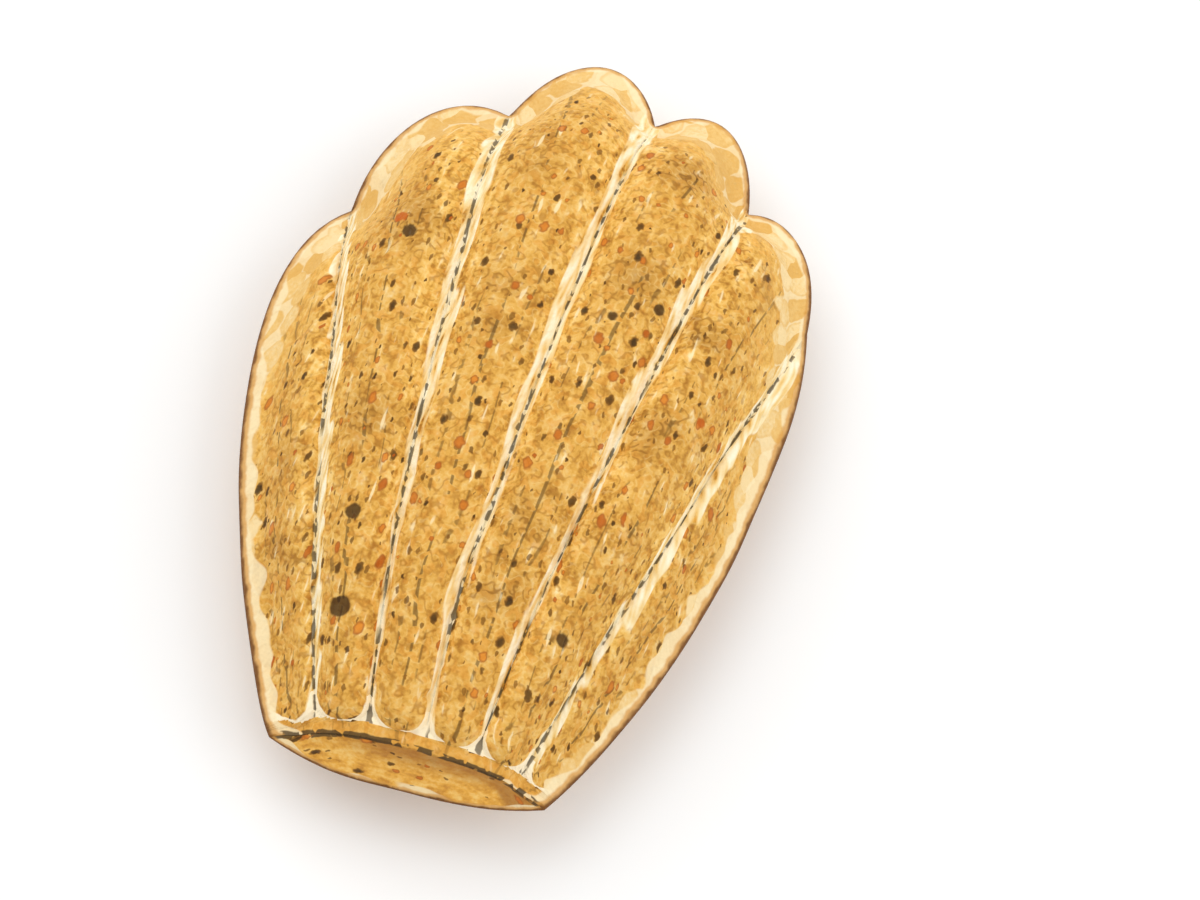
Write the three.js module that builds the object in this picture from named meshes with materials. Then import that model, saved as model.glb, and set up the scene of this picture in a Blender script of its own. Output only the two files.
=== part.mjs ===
// A madeleine: a small sponge cake baked in a shell-shaped pan.
//
// The cake lies with its ribbed shell side up and rests on the hump that rises on its open side in the
// oven. Six ribs fan out from a narrow, slanted end to a scalloped rim. Everything is in millimetres.
//
// The cake is drawn in plan first, with the middle of the narrow end at x = 0, y = 0, +Y towards the
// scallops and +Z up. A point of the plan has a rib, a share across that rib from its left border to its
// right one, and a share along it from the narrow end to the rim. The shell side and the underside are
// two heights over the same plan, and they meet at the rim.
import * as THREE from "three";
import { mergeVertices } from "three/addons/utils/BufferGeometryUtils.js";

// Plan. Each rib border is a curve from its foot on the narrow end to its end on the rim. The first and
// last borders are the sides of the cake, and the five between them are the grooves.
const FEET_X = [-13.3, -8.8, -4.0, 1.1, 5.9, 10.0, 13.5];
const GROOVE_BENDS = [
  new THREE.Vector2(-16.3, 22.7),
  new THREE.Vector2(-9.4, 30.9),
  new THREE.Vector2(-0.4, 29.9),
  new THREE.Vector2(9.6, 31.9),
  new THREE.Vector2(17.7, 24.9),
];
const GROOVE_ENDS = [
  new THREE.Vector2(-20.4, 54.0),
  new THREE.Vector2(-8.1, 68.5),
  new THREE.Vector2(6.6, 71.5),
  new THREE.Vector2(18.1, 64.8),
  new THREE.Vector2(26.7, 53.9),
];
const LEFT_SIDE_BENDS = [new THREE.Vector2(-17.8, 5.4), new THREE.Vector2(-33.2, 43.0)];
const RIGHT_SIDE_BENDS = [new THREE.Vector2(21.0, 10.6), new THREE.Vector2(29.8, 37.9)];

// The round ends of the four ribs between two grooves: how far each stands out past the grooves' ends,
// and how far its curve leans in from its left and from its right end, as shares of its width.
const LOBES = [
  { rise: 4.6, left: 0.38, right: 0.15 },
  { rise: 6.1, left: 0.42, right: 0.13 },
  { rise: 5.1, left: 0.16, right: 0.38 },
  { rise: 3.3, left: 0.14, right: 0.42 },
];
const LOBE_ONSET = 4; // power of the share along, so that the grooves feel the round ends only near the rim
const RIB_LENGTH = 70;

// Narrow end: a slanted face, bowed out in plan, with an arched top.
const END_BOW = 1.9;
const END_HEIGHT = 6.6;
const END_SLOPE = THREE.MathUtils.degToRad(66);
const END_ARCH = 2.6; // power of the arch and of the bow: 2 is a parabola, more is flatter in the middle
const END_EDGE = 0.8; // rounding of the edge between the slanted face and the shell
const LEAST_EDGE = 0.05; // and what is left of it where the face runs out at its corners
const ARCH_FADE = 6; // power with which the rows lose the arch's curve along the ribs

// Shell side.
const SHELL_HEIGHT = 13.2; // highest rib over the rim
const PEAK = 0.44; // share along the ribs of the highest point
const FAN_DROP = 0.22; // share of the height lost from there to the scallops
const SIDE_DROP = 0.33; // share of the height lost from the middle rib to the sides, at the peak
const END_SIDE_DROP = 0.93; // and at the narrow end
const SIDE_ARCH = 2.4;
const RIM_LIP = 0.7; // radius of the rim's rounded edge
const RIM_BAND = 3.0; // width of the flat band that runs round the ribs
const RIM_BAND_HEIGHT = 1.5;
const RIM_FILLET = 0.5;
const SHOULDER = { end: 5.5, fan: 9.0, out: 2.2, up: 1.35 }; // width and roundness of the fall to the band
const GROOVE_DEPTH = { end: 1.6, fan: 3.1 };
const RIB_ROUND = { across: 2.2, up: 0.75 }; // powers of a rib's section
const SIDE_RIB_FALL = 0.35; // how far a side rib's outer half falls, where 1 is down to a groove
const TOE_START = 1.3; // plain band between the slanted face and the ribs
const TOE_LENGTH = 2.4; // length over which a rib rises from that band
const GROOVE_FADE = { from: 0.5, to: 6.0 }; // distances to the rim between which a groove gets its depth

// Underside.
const RIM_HEIGHT = 8.1; // rim over the ground
const HUMP = { x: 1.5, y: 36.5, halfWidth: 23, halfLength: 32, round: 1.5, crown: 1.14, flatten: 0.06 };

// Mesh.
const RIBS = FEET_X.length - 1;
const COLUMNS_PER_RIB = 7;
const END_ROWS = 3;
const RIB_ROWS = 42;
const COLUMN_PULL = 0.5; // how much closer the columns are in the grooves
const ROW_PULL = 0.7; // how much closer the rows are at the ends of the ribs
const SIDE_SPREAD = 1.35; // power that brings a side rib's columns closer to the rim
const OUTLINE_STEPS = { side: 40, lobe: 16, end: 16 };
const MERGE_DISTANCE = 1e-4;
const ON_LINE = 1e-7; // keeps the distance to a line finite on the line itself

// A cubic curve whose bends lie a third of the chord in from its ends runs evenly along the chord, and it
// rises to three quarters of the height of its bends.
const EVEN_BEND = 1 / 3;
const CUBIC_RISE = 3 / 4;

const { clamp, lerp, smoothstep } = THREE.MathUtils;

// The narrow end's arch, 1 in the middle and 0 at its corners.
function endArch(x) {
  const corner = x < 0 ? FEET_X[0] : FEET_X[RIBS];
  return 1 - clamp(x / corner, 0, 1) ** END_ARCH;
}

// y of the slanted face's foot, and of its top edge.
const endFootY = (x) => -END_BOW * endArch(x);
const endTopY = (x) => endFootY(x) + (END_HEIGHT * endArch(x)) / Math.tan(END_SLOPE);

const foot = (border) => new THREE.Vector2(FEET_X[border], 0);
const BORDERS = [
  new THREE.CubicBezierCurve(foot(0), ...LEFT_SIDE_BENDS, GROOVE_ENDS[0]),
  ...GROOVE_BENDS.map((bend, i) => new THREE.QuadraticBezierCurve(foot(i + 1), bend, GROOVE_ENDS[i])),
  new THREE.CubicBezierCurve(foot(RIBS), ...RIGHT_SIDE_BENDS, GROOVE_ENDS[RIBS - 2]),
];

// The step from the chord between two grooves' ends out to the round end, as a curve.
const LOBE_STEPS = LOBES.map(({ rise, left, right }, i) => {
  const chord = GROOVE_ENDS[i + 1].clone().sub(GROOVE_ENDS[i]);
  const out = new THREE.Vector2(-chord.y, chord.x).setLength(rise / CUBIC_RISE);
  const bend = (share) => chord.clone().multiplyScalar(share).add(out);
  const still = new THREE.Vector2();
  return new THREE.CubicBezierCurve(still, bend(left - EVEN_BEND), bend(EVEN_BEND - right), still);
});

// A point of the plan. along runs from -1 to 0 up the slanted face and from 0 to 1 along the ribs.
function planPoint(rib, across, along) {
  const x = lerp(FEET_X[rib], FEET_X[rib + 1], across);
  if (along < 0) return new THREE.Vector2(x, lerp(endTopY(x), endFootY(x), -along));
  const point = BORDERS[rib].getPoint(along).lerp(BORDERS[rib + 1].getPoint(along), across);
  const lobe = LOBE_STEPS[rib - 1];
  if (lobe) point.addScaledVector(lobe.getPoint(across), along ** LOBE_ONSET);
  point.y += endTopY(x) * (1 - along) ** ARCH_FADE;
  return point;
}

// Points at even shares from 0 to 1 of a path.
const sample = (steps, path) => Array.from({ length: steps + 1 }, (_, i) => path(i / steps));

// The rim: up the left side, round the scallops and down the right side; then back along the narrow end.
function rimLine() {
  const line = sample(OUTLINE_STEPS.side, (s) => BORDERS[0].getPoint(s));
  for (let rib = 1; rib < RIBS - 1; rib++)
    line.push(...sample(OUTLINE_STEPS.lobe, (s) => planPoint(rib, s, 1)).slice(1));
  line.push(...sample(OUTLINE_STEPS.side, (s) => BORDERS[RIBS].getPoint(1 - s)).slice(1));
  return line;
}

function endLine() {
  return sample(OUTLINE_STEPS.end, (s) => {
    const x = lerp(FEET_X[RIBS], FEET_X[0], s);
    return new THREE.Vector2(x, endFootY(x));
  });
}

const RIM = rimLine();
const OUTLINE = [...RIM, ...endLine().slice(1)];

// Distance from a point to a line of points, rounded off where two stretches are equally near. It is the
// inverse square root of half the integral of 1/r^3 along the line, which is the plain distance beside a
// long straight line and has no ridges inside the scallops.
function softDistance(point, line) {
  let sum = 0;
  for (let i = 1; i < line.length; i++) {
    const start = line[i - 1].clone().sub(point);
    const end = line[i].clone().sub(point);
    const run = end.clone().sub(start).normalize();
    const aside = start.cross(run) ** 2 + ON_LINE;
    sum += (end.dot(run) / end.length() - start.dot(run) / start.length()) / aside;
  }
  return Math.sqrt(2 / sum);
}

// Height of a quarter-round edge of radius RIM_LIP at a distance from it.
const lip = (distance) => RIM_LIP * Math.sqrt(1 - (1 - clamp(distance / RIM_LIP, 0, 1)) ** 2);

// Polynomial minimum of two heights, rounded over a width.
function softMin(a, b, width) {
  const share = clamp(0.5 + (b - a) / (2 * width), 0, 1);
  return lerp(b, a, share) - width * share * (1 - share);
}

// The smooth vault over the ribs' crests, before it falls to the rim. It starts a groove's depth over the
// slanted face.
function vaultHeight(place, along) {
  const start = (END_HEIGHT + GROOVE_DEPTH.end) / SHELL_HEIGHT;
  const lengthwise =
    along < PEAK
      ? 1 - (1 - start) * (1 - along / PEAK) ** 2
      : 1 - FAN_DROP * ((along - PEAK) / (1 - PEAK)) ** 2;
  const drop = lerp(END_SIDE_DROP, SIDE_DROP, smoothstep(along, 0, PEAK));
  return SHELL_HEIGHT * lengthwise * (1 - drop * Math.abs(place) ** SIDE_ARCH);
}

// Share of the vault's height at a distance from the rim: nothing on the band, then a round shoulder.
function shoulder(distance, along) {
  const soften = (v) => (v + Math.hypot(v, RIM_FILLET)) / 2;
  const start = RIM_FILLET - RIM_BAND;
  const width = lerp(SHOULDER.end, SHOULDER.fan, smoothstep(along, 0, PEAK));
  const share = clamp((soften(distance + start) - soften(start)) / width, 0, 1);
  return (1 - (1 - share) ** SHOULDER.out) ** (1 / SHOULDER.up);
}

// A rib's section, 1 on its crest and 0 in the grooves and before its toe. A side rib's outer half has no
// groove, so it runs out nearly level.
function ribSection(rib, across, along) {
  const outer = (rib === 0 && across < 0.5) || (rib === RIBS - 1 && across > 0.5);
  const off = Math.abs(2 * across - 1) * (outer ? SIDE_RIB_FALL : 1);
  const toe = clamp((TOE_LENGTH + TOE_START - along * RIB_LENGTH) / TOE_LENGTH, 0, 2);
  return clamp(1 - off ** RIB_ROUND.across - toe ** RIB_ROUND.across, 0, 1) ** RIB_ROUND.up;
}

// Height of the shell side over the rim.
function shellHeight(point, rib, across, along) {
  const distance = softDistance(point, RIM);
  const run = Math.max(along, 0);
  const place = (2 * (rib + across)) / RIBS - 1;
  const band = lip(distance) + (RIM_BAND_HEIGHT - RIM_LIP) * smoothstep(distance, 0, RIM_BAND);
  const depth = lerp(GROOVE_DEPTH.end, GROOVE_DEPTH.fan, run);
  const groove = depth * (1 - ribSection(rib, across, run));
  const ribbed =
    band +
    shoulder(distance, run) * (vaultHeight(place, run) - RIM_BAND_HEIGHT) -
    groove * smoothstep(distance, GROOVE_FADE.from, GROOVE_FADE.to);
  const slanted = (point.y - endFootY(point.x)) * Math.tan(END_SLOPE);
  const rounding = clamp(Math.max(ribbed, slanted), LEAST_EDGE, END_EDGE);
  return Math.max(softMin(slanted, Math.max(ribbed, band), rounding), 0);
}

// Depth of the underside below the rim: the rounded edge, a shallow margin and the hump, whose crown is
// levelled to the small flat that the cake stands on.
function undersideDepth(point) {
  const offset = Math.hypot((point.x - HUMP.x) / HUMP.halfWidth, (point.y - HUMP.y) / HUMP.halfLength);
  const dome = HUMP.crown * clamp(1 - offset ** 2, 0, 1) ** HUMP.round;
  const depth = RIM_HEIGHT - RIM_LIP;
  return lip(softDistance(point, OUTLINE)) + depth * softMin(dome, 1, HUMP.flatten);
}

// Moves even shares closer together towards both ends, by pull: 0 leaves them even.
const crowd = (share, pull) => share - (pull * Math.sin(2 * Math.PI * share)) / (2 * Math.PI);

// Columns of the mesh as [rib, share across], closest in the grooves and at the rim.
function columns() {
  const list = [];
  for (let rib = 0; rib < RIBS; rib++)
    for (let i = 0; i < COLUMNS_PER_RIB; i++) {
      const share = i / COLUMNS_PER_RIB;
      if (rib === 0) list.push([rib, share ** SIDE_SPREAD]);
      else if (rib === RIBS - 1) list.push([rib, 1 - (1 - share) ** SIDE_SPREAD]);
      else list.push([rib, crowd(share, COLUMN_PULL)]);
    }
  return [...list, [RIBS - 1, 1]];
}

// Rows of the mesh as the share along, negative on the slanted face.
const rows = () => [
  ...sample(END_ROWS, (share) => share - 1).slice(0, -1),
  ...sample(RIB_ROWS, (share) => crowd(share, ROW_PULL)),
];

// One closed surface: the shell side and the underside over the same grid, joined along the rim.
function cakeGeometry() {
  const across = columns();
  const along = rows();
  const shell = [];
  const underside = [];
  along.forEach((share, row) =>
    across.forEach(([rib, place], column) => {
      const point = planPoint(rib, place, share);
      const onRim = row % (along.length - 1) === 0 || column % (across.length - 1) === 0;
      const height = onRim ? 0 : shellHeight(point, rib, place, share);
      const depth = onRim ? 0 : undersideDepth(point);
      shell.push(point.x, point.y, RIM_HEIGHT + height);
      underside.push(point.x, point.y, RIM_HEIGHT - depth);
    }),
  );
  const below = across.length * along.length;
  const index = [];
  for (let row = 0; row < along.length - 1; row++)
    for (let column = 0; column < across.length - 1; column++) {
      const a = row * across.length + column;
      const [b, c, d] = [a + 1, a + across.length + 1, a + across.length];
      index.push(a, b, c, a, c, d);
      index.push(below + a, below + c, below + b, below + a, below + d, below + c);
    }
  const geometry = new THREE.BufferGeometry();
  geometry.setAttribute("position", new THREE.Float32BufferAttribute([...shell, ...underside], 3));
  geometry.setIndex(index);
  return withoutSlivers(mergeVertices(geometry, MERGE_DISTANCE));
}

// Drops the triangles that merging closed up, where the grid's rows or columns meet in one point.
function withoutSlivers(geometry) {
  const kept = [];
  const { array } = geometry.index;
  for (let i = 0; i < array.length; i += 3) {
    const corners = array.slice(i, i + 3);
    if (new Set(corners).size === 3) kept.push(...corners);
  }
  geometry.setIndex(kept);
  geometry.computeVertexNormals();
  return geometry;
}

const crust = new THREE.MeshStandardMaterial({ color: 0xe0ab57, roughness: 0.8, metalness: 0 });
const madeleine = new THREE.Mesh(cakeGeometry(), crust);
madeleine.name = "madeleine";
madeleine.position.set(-HUMP.x, -HUMP.y, 0); // the origin is the middle of the flat it stands on

const cake = new THREE.Group();
cake.add(madeleine);
export default cake;
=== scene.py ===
"""A madeleine, the small sponge cake baked in a shell-shaped pan, with its crust as it comes from the oven.

The cake lies on the hump that rose on its open side, ribbed shell side up. Its crust is one closed
surface over a plan of six ribs: a point of the plan has a rib, a share across that rib and a share along
it. Lengths in the classes are millimetres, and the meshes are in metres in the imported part's frame.
"""
import logging
from dataclasses import dataclass
from enum import Enum
from functools import partial
from itertools import product
from math import comb, cos, pi, radians, sin, tan

import bmesh
import bpy
import numpy as np
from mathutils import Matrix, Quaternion, Vector
from numpy.typing import NDArray


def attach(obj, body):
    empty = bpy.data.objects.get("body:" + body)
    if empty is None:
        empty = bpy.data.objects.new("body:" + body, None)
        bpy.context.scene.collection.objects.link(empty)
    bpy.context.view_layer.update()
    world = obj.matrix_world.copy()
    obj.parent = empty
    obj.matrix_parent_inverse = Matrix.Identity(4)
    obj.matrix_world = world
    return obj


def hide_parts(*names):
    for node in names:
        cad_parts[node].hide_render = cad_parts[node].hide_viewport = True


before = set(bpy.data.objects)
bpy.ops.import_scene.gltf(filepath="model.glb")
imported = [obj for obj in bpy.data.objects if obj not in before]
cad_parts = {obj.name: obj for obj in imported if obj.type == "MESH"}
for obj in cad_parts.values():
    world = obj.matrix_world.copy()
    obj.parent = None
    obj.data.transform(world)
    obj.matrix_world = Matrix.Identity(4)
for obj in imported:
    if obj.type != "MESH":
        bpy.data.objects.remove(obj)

Array = NDArray[np.float64]
Point = tuple[float, float]
Stops = tuple[tuple[float, str], ...]
Socket = bpy.types.NodeSocket
Sockets = dict[str, Socket]

MM = 0.001
NODE = "madeleine"
MERGE_DISTANCE = 1e-7  # m, a thousandth of the finest cell
FAR = 20.0  # mm, a distance past every border of the crust's colours
NOISE_MIDDLE = 0.5  # mean value of a noise node

# What keeps the soft distance to a line finite: on the line, at its points and far past its ends.
ON_LINE, AT_POINT, PAST_ENDS = 1e-7, 1e-9, 1e-12

# A cubic curve whose bends lie a third of the chord in from its ends runs evenly along the chord, and it
# rises to three quarters of the height of its bends.
EVEN_BEND, CUBIC_RISE = 1 / 3, 3 / 4

# A Mix node's colour sockets share their names with its other sockets, so they go by number.
MIX_FACTOR, MIX_A, MIX_B, MIX_COLOUR = 0, 6, 7, 2

log = logging.getLogger("madeleine")


class Side(Enum):
    """The two faces of the cake, with the direction in which each leaves the rim plane."""

    SHELL = 1
    UNDERSIDE = -1


class Fleck(Enum):
    """What shows as a large fleck on the crust, with the name of its distance on the mesh."""

    BURNT_SUGAR = "burnt_sugar"
    ORANGE_ZEST = "orange_zest"


# ---- small functions


def lerp(start: Array | float, end: Array | float, share: Array | float) -> Array | float:
    """Value at a share of the way from start to end."""
    return start + (end - start) * share


def smoothstep(value: Array | float, low: float, high: float) -> Array | float:
    """0 at low, 1 at high, and 3t^2 - 2t^3 between them."""
    t = np.clip((value - low) / (high - low), 0, 1)
    return t * t * (3 - 2 * t)


def soft_min(a: Array, b: Array | float, width: Array | float) -> Array:
    """The lesser of two heights, rounded by a parabola where they differ by less than width."""
    share = np.clip(0.5 + (b - a) / (2 * width), 0, 1)
    return lerp(b, a, share) - width * share * (1 - share)


def crowd(shares: Array, pull: float) -> Array:
    """Even shares moved closer together at both ends: t - pull sin(2 pi t) / (2 pi)."""
    return shares - pull * np.sin(2 * pi * shares) / (2 * pi)


def bezier(controls: tuple[Point, ...], shares: Array) -> Array:
    """Points of a curve: the sum of comb(n, k) (1 - t)^(n - k) t^k times control point k.

    Args:
        controls: control points of the curve, the first and last of which are its ends.
        shares: shares along the curve, from 0 to 1.

    Returns:
        One point for each share, of shape (shares, 2).
    """
    n = len(controls) - 1
    t = np.asarray(shares)[:, None]
    return sum(comb(n, k) * (1 - t) ** (n - k) * t**k * np.asarray(p) for k, p in enumerate(controls))


def run_length(points: Array, axis: int) -> Array:
    """Length over a grid of points along one axis, from the first row or column to each point."""
    steps = np.linalg.norm(np.diff(points, axis=axis), axis=-1)
    return np.insert(np.cumsum(steps, axis=axis), 0, 0, axis=axis)


def soft_distance(points: Array, line: Array) -> Array:
    """Distance to a line of points, with no ridge where two stretches of it are equally near.

    It is the inverse square root of half the integral of 1/r^3 along the line. Over one straight stretch
    that integral is the difference of the ends' cosines over the squared distance aside.

    Args:
        points: plan points, of shape (..., 2).
        line: points of the line in order, of shape (n, 2).

    Returns:
        The distances, of the shape of points without its last axis.
    """
    total = np.zeros(points.shape[:-1])
    for first, last in zip(line[:-1], line[1:]):
        run = (last - first) / np.linalg.norm(last - first)
        start, end = first - points, last - points
        aside = (start[..., 0] * run[1] - start[..., 1] * run[0]) ** 2 + ON_LINE
        cosines = (end @ run) / np.linalg.norm(end, axis=-1).clip(AT_POINT)
        cosines = cosines - (start @ run) / np.linalg.norm(start, axis=-1).clip(AT_POINT)
        total += cosines / aside
    return np.sqrt(2 / total.clip(PAST_ENDS))


def lattice_noise(points: Array, cell: float, seed: int) -> Array:
    """Smooth noise from -1 to 1: random values at the corners of cubes, blended by 6t^5 - 15t^4 + 10t^3.

    Args:
        points: places in mm, of shape (n, 3).
        cell: edge of a cube in mm.
        seed: seed of the random values.

    Returns:
        One value for each point.
    """
    size = 32
    table = np.random.default_rng(seed).uniform(-1, 1, (size, size, size))
    place = points / cell
    corner = np.floor(place).astype(int)
    t = place - corner
    blend = t**3 * (t * (6 * t - 15) + 10)
    total = np.zeros(len(points))
    for offset in product((0, 1), repeat=3):
        weight = np.where(offset, blend, 1 - blend).prod(axis=1)
        x, y, z = ((corner + offset) % size).T
        total += weight * table[x, y, z]
    return total


def read(items: bpy.types.bpy_prop_collection, name: str, width: int = 1, kind: type = float) -> Array:
    """One property of all items of a Blender collection.

    Args:
        items: the collection.
        name: name of the property.
        width: how many numbers each item has.
        kind: type of the numbers.

    Returns:
        The numbers, of shape (items,), or (items, width) where each item has several.
    """
    values = np.empty(len(items) * width, dtype=kind)
    items.foreach_get(name, values)
    return values.reshape(-1, width) if width > 1 else values


def store(mesh: bpy.types.Mesh, name: str, values: Array) -> None:
    """Stores a number or a vector for each vertex of a mesh, as an attribute.

    Args:
        mesh: the mesh.
        name: name of the new attribute.
        values: one row for each vertex.
    """
    single = values.size == len(mesh.vertices)
    kind, key = ("FLOAT", "value") if single else ("FLOAT_VECTOR", "vector")
    mesh.attributes.new(name, kind, "POINT").data.foreach_set(key, values.ravel())


def add_object(name: str, data: bpy.types.ID) -> bpy.types.Object:
    """Puts a new object in the scene.

    Args:
        name: name of the object.
        data: its mesh, light or camera.

    Returns:
        The object.
    """
    added = bpy.data.objects.new(name, data)
    bpy.context.scene.collection.objects.link(added)
    return added


def linear(colour: str) -> tuple[float, float, float, float]:
    """Linear RGBA of an sRGB hex colour such as "#e0a850"."""
    shares = (int(colour[i : i + 2], 16) / 255 for i in (1, 3, 5))
    return (*(s / 12.92 if s <= 0.04045 else ((s + 0.055) / 1.055) ** 2.4 for s in shares), 1.0)


def feed(tree: bpy.types.NodeTree, node: bpy.types.Node, links: dict[str | int, object]) -> None:
    """Feeds a node's inputs.

    Args:
        tree: the node's tree.
        node: the node.
        links: for each input, by name or number, the output that feeds it or a plain value.
    """
    for key, value in links.items():
        if isinstance(value, Socket):
            tree.links.new(value, node.inputs[key])
        else:
            node.inputs[key].default_value = value


def add_node(
    tree: bpy.types.NodeTree,
    kind: str,
    links: dict[str | int, object] | None = None,
    out: str | int = 0,
    stops: Stops = (),
    **settings: object,
) -> Socket:
    """Adds a shader node with its settings and links.

    Args:
        tree: node tree that gets the node.
        kind: name of the node's type, after "ShaderNode".
        links: for each input, by name or number, the output that feeds it or a plain value.
        out: name or number of the output that is wanted.
        stops: places and sRGB hex colours of the node's colour ramp, where it has one.
        settings: the node's own properties.

    Returns:
        That output of the new node.
    """
    node = tree.nodes.new("ShaderNode" + kind)
    for name, value in settings.items():
        setattr(node, name, value)
    feed(tree, node, links or {})
    if stops:
        ramp = node.color_ramp
        ramp.elements[0].position, ramp.elements[-1].position = stops[0][0], stops[-1][0]
        for place, _ in stops[1:-1]:
            ramp.elements.new(place)
        for element, (_, colour) in zip(ramp.elements, stops):
            element.color = linear(colour)
    return node.outputs[out]


# ---- form of the cake


@dataclass(frozen=True)
class RoundEnd:
    """The scallop at the end of a rib between two grooves.

    rise is how far it stands out past the grooves' ends, in mm. left and right are how far its curve
    leans in from its two ends, as shares of its width.
    """

    rise: float
    left: float
    right: float

    def step(self, across: Array, start: Array, end: Array) -> Array:
        """Step from the chord between the grooves' ends out to the scallop.

        It is a cubic Bezier curve less its even run along the chord.

        Args:
            across: shares across the rib.
            start: plan point where the left groove ends.
            end: plan point where the right groove ends.

        Returns:
            One plan step for each share.
        """
        chord = end - start
        out = np.array([-chord[1], chord[0]]) / np.linalg.norm(chord) * self.rise / CUBIC_RISE
        bends = (chord * (self.left - EVEN_BEND) + out, chord * (EVEN_BEND - self.right) + out)
        return bezier(((0, 0), *map(tuple, bends), (0, 0)), across)


@dataclass(frozen=True)
class ShellPlan:
    """The cake seen from above, in mm, with the middle of its narrow end at 0, 0 and +Y to the scallops.

    Rib borders are curves from their feet on the narrow end to their ends on the rim. The first and last
    are the sides of the cake, and the five between them are the grooves.
    """

    feet_x: tuple[float, ...] = (-13.3, -8.8, -4.0, 1.1, 5.9, 10.0, 13.5)
    groove_bends: tuple[Point, ...] = ((-16.3, 22.7), (-9.4, 30.9), (-0.4, 29.9), (9.6, 31.9), (17.7, 24.9))
    groove_ends: tuple[Point, ...] = ((-20.4, 54.0), (-8.1, 68.5), (6.6, 71.5), (18.1, 64.8), (26.7, 53.9))
    left_side: tuple[Point, ...] = ((-17.8, 5.4), (-33.2, 43.0))
    right_side: tuple[Point, ...] = ((21.0, 10.6), (29.8, 37.9))
    round_ends: tuple[RoundEnd, ...] = (
        RoundEnd(4.6, 0.38, 0.15),
        RoundEnd(6.1, 0.42, 0.13),
        RoundEnd(5.1, 0.16, 0.38),
        RoundEnd(3.3, 0.14, 0.42),
    )
    round_end_onset: float = 4.0  # power of the share along with which a rib takes its round end's curve
    end_bow: float = 1.9
    end_height: float = 6.6
    end_slope: float = 66.0  # degrees
    end_arch: float = 2.6  # power of the narrow end's arch: more than 2 is flat in the middle
    arch_fade: float = 6.0  # power with which the rows lose the arch's curve along the ribs
    side_steps: int = 40  # straight steps of the rim line along a side
    round_steps: int = 16  # and along a round end or the narrow end

    @property
    def ribs(self) -> int:
        """Number of ribs."""
        return len(self.feet_x) - 1

    def arch(self, x: Array) -> Array:
        """The narrow end's arch over x, 1 in the middle and 0 at its corners: 1 - (x / corner)^power."""
        corner = np.where(x < 0, self.feet_x[0], self.feet_x[-1])
        return 1 - np.clip(x / corner, 0, 1) ** self.end_arch

    def foot_y(self, x: Array) -> Array:
        """y of the slanted face's foot over x."""
        return -self.end_bow * self.arch(x)

    def top_y(self, x: Array) -> Array:
        """y of the slanted face's top edge over x."""
        return self.foot_y(x) + self.end_height * self.arch(x) / tan(radians(self.end_slope))

    def border(self, number: int, shares: Array) -> Array:
        """A rib border: a cubic Bezier curve for a side, a quadratic one for a groove.

        Args:
            number: number of the border, from the left.
            shares: shares along it.

        Returns:
            One plan point for each share.
        """
        bends = (self.left_side, *((bend,) for bend in self.groove_bends), self.right_side)
        end = self.groove_ends[min(max(number, 1), len(self.groove_ends)) - 1]
        return bezier(((self.feet_x[number], 0.0), *bends[number], end), shares)

    def rib_points(self, rib: int, across: Array, along: Array) -> Array:
        """Plan points of one rib.

        A point lies at its share across between the rib's two borders, plus its round end's step times
        the share along to a power. The rows near the narrow end are bent to its arch.

        Args:
            rib: number of the rib, from the left.
            across: shares from the rib's left border to its right one.
            along: shares from -1 to 0 up the slanted face and from 0 to 1 along the rib.

        Returns:
            The points, of shape (along, across, 2).
        """
        run = np.clip(along, 0, 1)
        left, right = (self.border(number, run)[:, None] for number in (rib, rib + 1))
        points = lerp(left, right, across[None, :, None])
        if 0 < rib < self.ribs - 1:
            ends = np.array(self.groove_ends[rib - 1 : rib + 1])
            step = self.round_ends[rib - 1].step(across, *ends)
            points = points + run[:, None, None] ** self.round_end_onset * step
        x = lerp(self.feet_x[rib], self.feet_x[rib + 1], across)[None]
        end_y = lerp(self.top_y(x), self.foot_y(x), np.clip(-along, 0, 1)[:, None])
        points[..., 1] += end_y * (1 - run[:, None]) ** self.arch_fade
        return points

    def rim(self) -> Array:
        """The rim as a line of points: up the left side, round the scallops and down the right side.

        Returns:
            The points.
        """
        side, across = (np.linspace(0, 1, steps + 1) for steps in (self.side_steps, self.round_steps))
        scallops = [self.rib_points(rib, across, np.ones(1))[0, 1:] for rib in range(1, self.ribs - 1)]
        return np.concatenate([self.border(0, side), *scallops, self.border(self.ribs, 1 - side)[1:]])

    def outline(self) -> Array:
        """The rim closed along the foot of the narrow end."""
        x = np.linspace(self.feet_x[-1], self.feet_x[0], self.round_steps + 1)[1:]
        return np.concatenate([self.rim(), np.stack([x, self.foot_y(x)], axis=-1)])


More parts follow.
